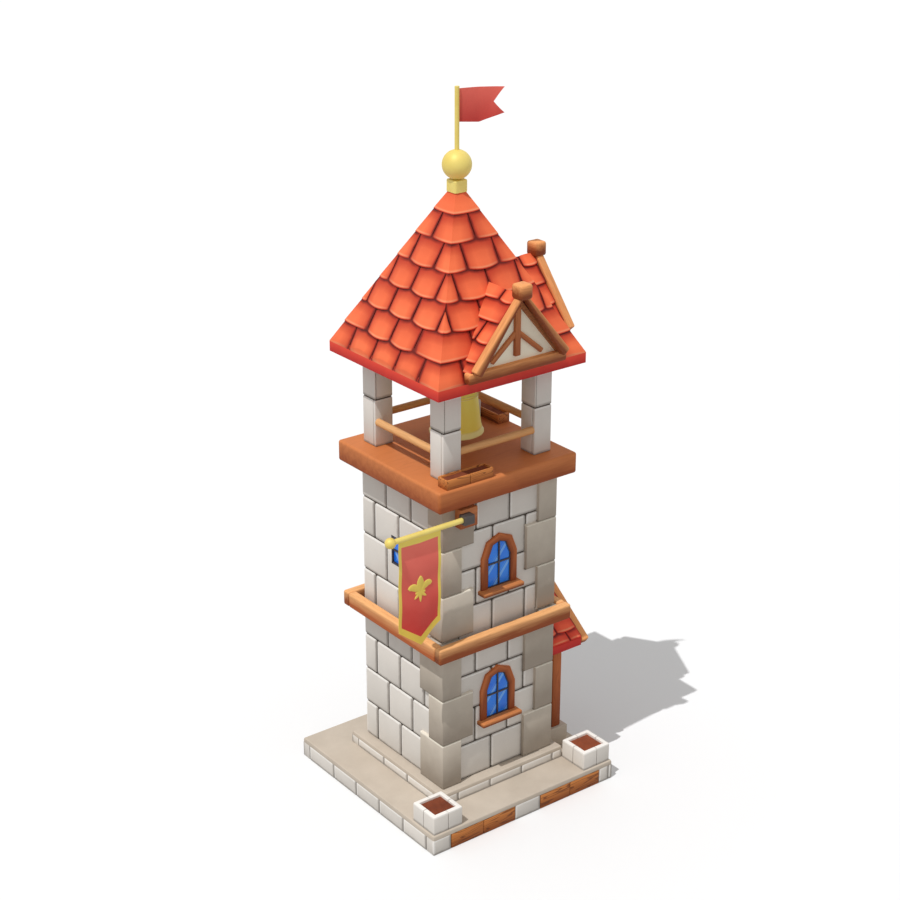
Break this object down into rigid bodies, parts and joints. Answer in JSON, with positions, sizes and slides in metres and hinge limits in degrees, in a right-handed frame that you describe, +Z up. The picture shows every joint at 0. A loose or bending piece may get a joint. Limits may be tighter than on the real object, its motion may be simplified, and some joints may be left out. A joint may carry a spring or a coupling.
{
  "type": "bell tower",
  "caption": "square stone bell tower on a stepped base, open belfry with a swinging bell, hipped tile roof with dormer gables, timber porch, banner and flag",
  "frame": {"origin": "on the ground under the tower's vertical axis, in the middle of the square base", "axes": "+Z up, -Y towards the front wall with the two arched windows, +X towards the porch and the door"},
  "size_m": [6.945, 6.05, 18.781],
  "materials": {
    "stone": "light sandstone, dressed, matt",
    "wall_stone": "grey building stone in bevelled blocks, matt",
    "quoin_stone": "brown-grey corner stone, matt",
    "timber": "orange-brown planed timber, satin",
    "deck_timber": "orange-brown timber deck, satin",
    "dark_timber": "dark brown timber, satin",
    "box_timber": "rough sawn timber with grain",
    "tile": "orange-red fired clay tile, satin",
    "bell_metal": "cast bell bronze, satin",
    "gold": "gold paint on metal, satin",
    "iron": "dark wrought iron, matt",
    "flag_cloth": "red woven cloth",
    "banner_cloth": "red woven cloth with a gold border"
  },
  "bodies": {
    "tower": {"platform": "stone", "plinth": "stone", "doorstep": "stone", "planter_left": "stone", "planter_right": "stone", "front_wall": "wall_stone", "back_wall": "wall_stone", "left_wall": "wall_stone", "right_wall": "wall_stone", "quoins_left": "quoin_stone", "quoins_right": "quoin_stone", "upper_floor": "timber", "ring_beam_front": "timber", "ring_beam_back": "timber", "ring_beam_left": "timber", "ring_beam_right": "timber", "belfry_deck": "deck_timber", "pillar_front_left": "wall_stone", "pillar_front_right": "wall_stone", "pillar_back_left": "wall_stone", "pillar_back_right": "wall_stone", "rail_front": "timber", "rail_back": "timber", "rail_left": "timber", "rail_right": "timber", "deck_box_front": "box_timber", "deck_box_right": "box_timber", "bell_frame": "timber", "roof_front": "tile", "roof_back": "tile", "roof_left": "tile", "roof_right": "tile", "finial": "gold", "flag": "flag_cloth", "dormer_front_gable": "timber", "dormer_right_gable": "timber", "dormer_front_roof": "tile", "dormer_right_roof": "tile", "banner_pole": "gold", "banner": "banner_cloth", "window_front_upper": "dark_timber", "window_front_lower": "dark_timber", "window_left": "dark_timber", "window_back": "dark_timber", "door": "dark_timber", "porch_frame": "dark_timber", "porch_roof": "tile"},
    "swinging_bell": {"bell": "bell_metal", "headstock": "dark_timber", "clapper": "iron"}
  },
  "joints": [
    {"name": "bell_swing", "type": "hinge", "parent": "tower", "child": "swinging_bell", "pos_m": [0, 0, 11.8], "axis": [1, 0, 0], "range_deg": [-45, 45]}
  ]
}
